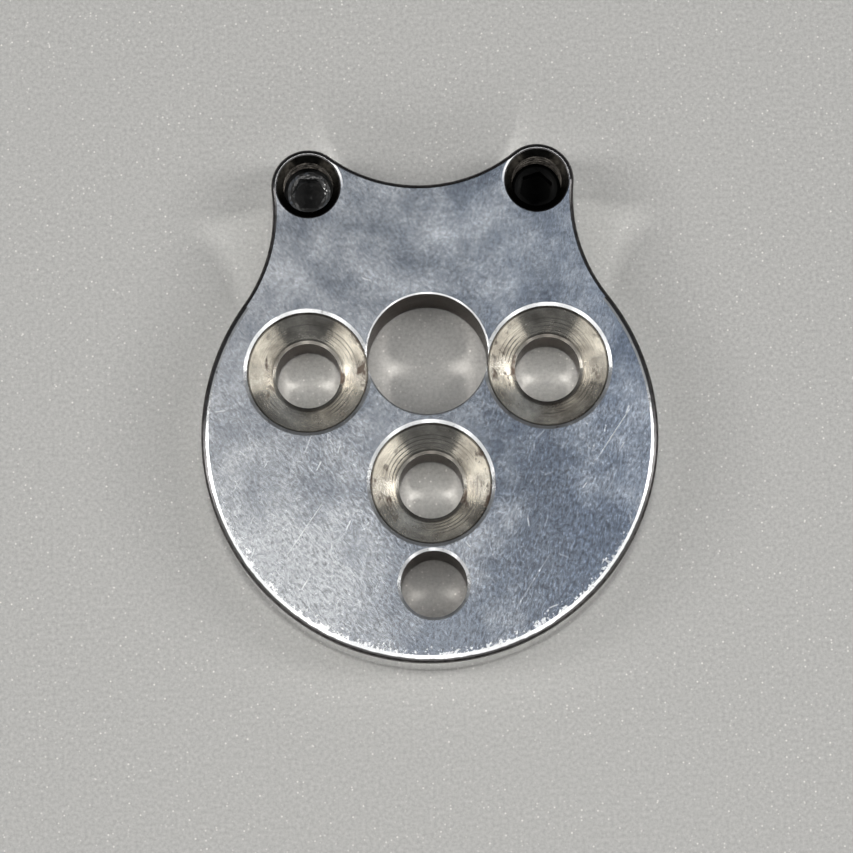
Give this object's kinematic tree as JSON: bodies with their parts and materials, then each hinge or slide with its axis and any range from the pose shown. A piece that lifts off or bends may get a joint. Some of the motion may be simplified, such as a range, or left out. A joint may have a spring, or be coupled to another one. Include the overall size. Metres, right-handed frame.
{
  "type": "mounting plate",
  "caption": "Round flat metal mounting plate with tapped ears holding set screws, countersunk screw holes and plain through holes.",
  "frame": {"origin": "centre of the round disc on the underside of the plate", "axes": "+Y towards the two ears, +Z out of the countersunk face"},
  "size_m": [0.03, 0.0342, 0.006],
  "materials": {
    "polished_aluminium": "worn satin polish with fine random scratches",
    "black_steel": "black oxide"
  },
  "bodies": {
    "plate": {"plate": "polished_aluminium"},
    "left_screw": {"set_screw_left": "black_steel"},
    "right_screw": {"set_screw_right": "black_steel"}
  },
  "joints": [
    {"name": "left_screw_turn", "type": "hinge", "parent": "plate", "child": "left_screw", "pos_m": [-0.00755, 0.01675, 0.0018], "axis": [0, 0, 1], "range_deg": [-154, 1388]},
    {"name": "right_screw_turn", "type": "hinge", "parent": "plate", "child": "right_screw", "pos_m": [0.00755, 0.01675, 0.0015], "axis": [0, 0, 1], "range_deg": [0, 1542]}
  ]
}
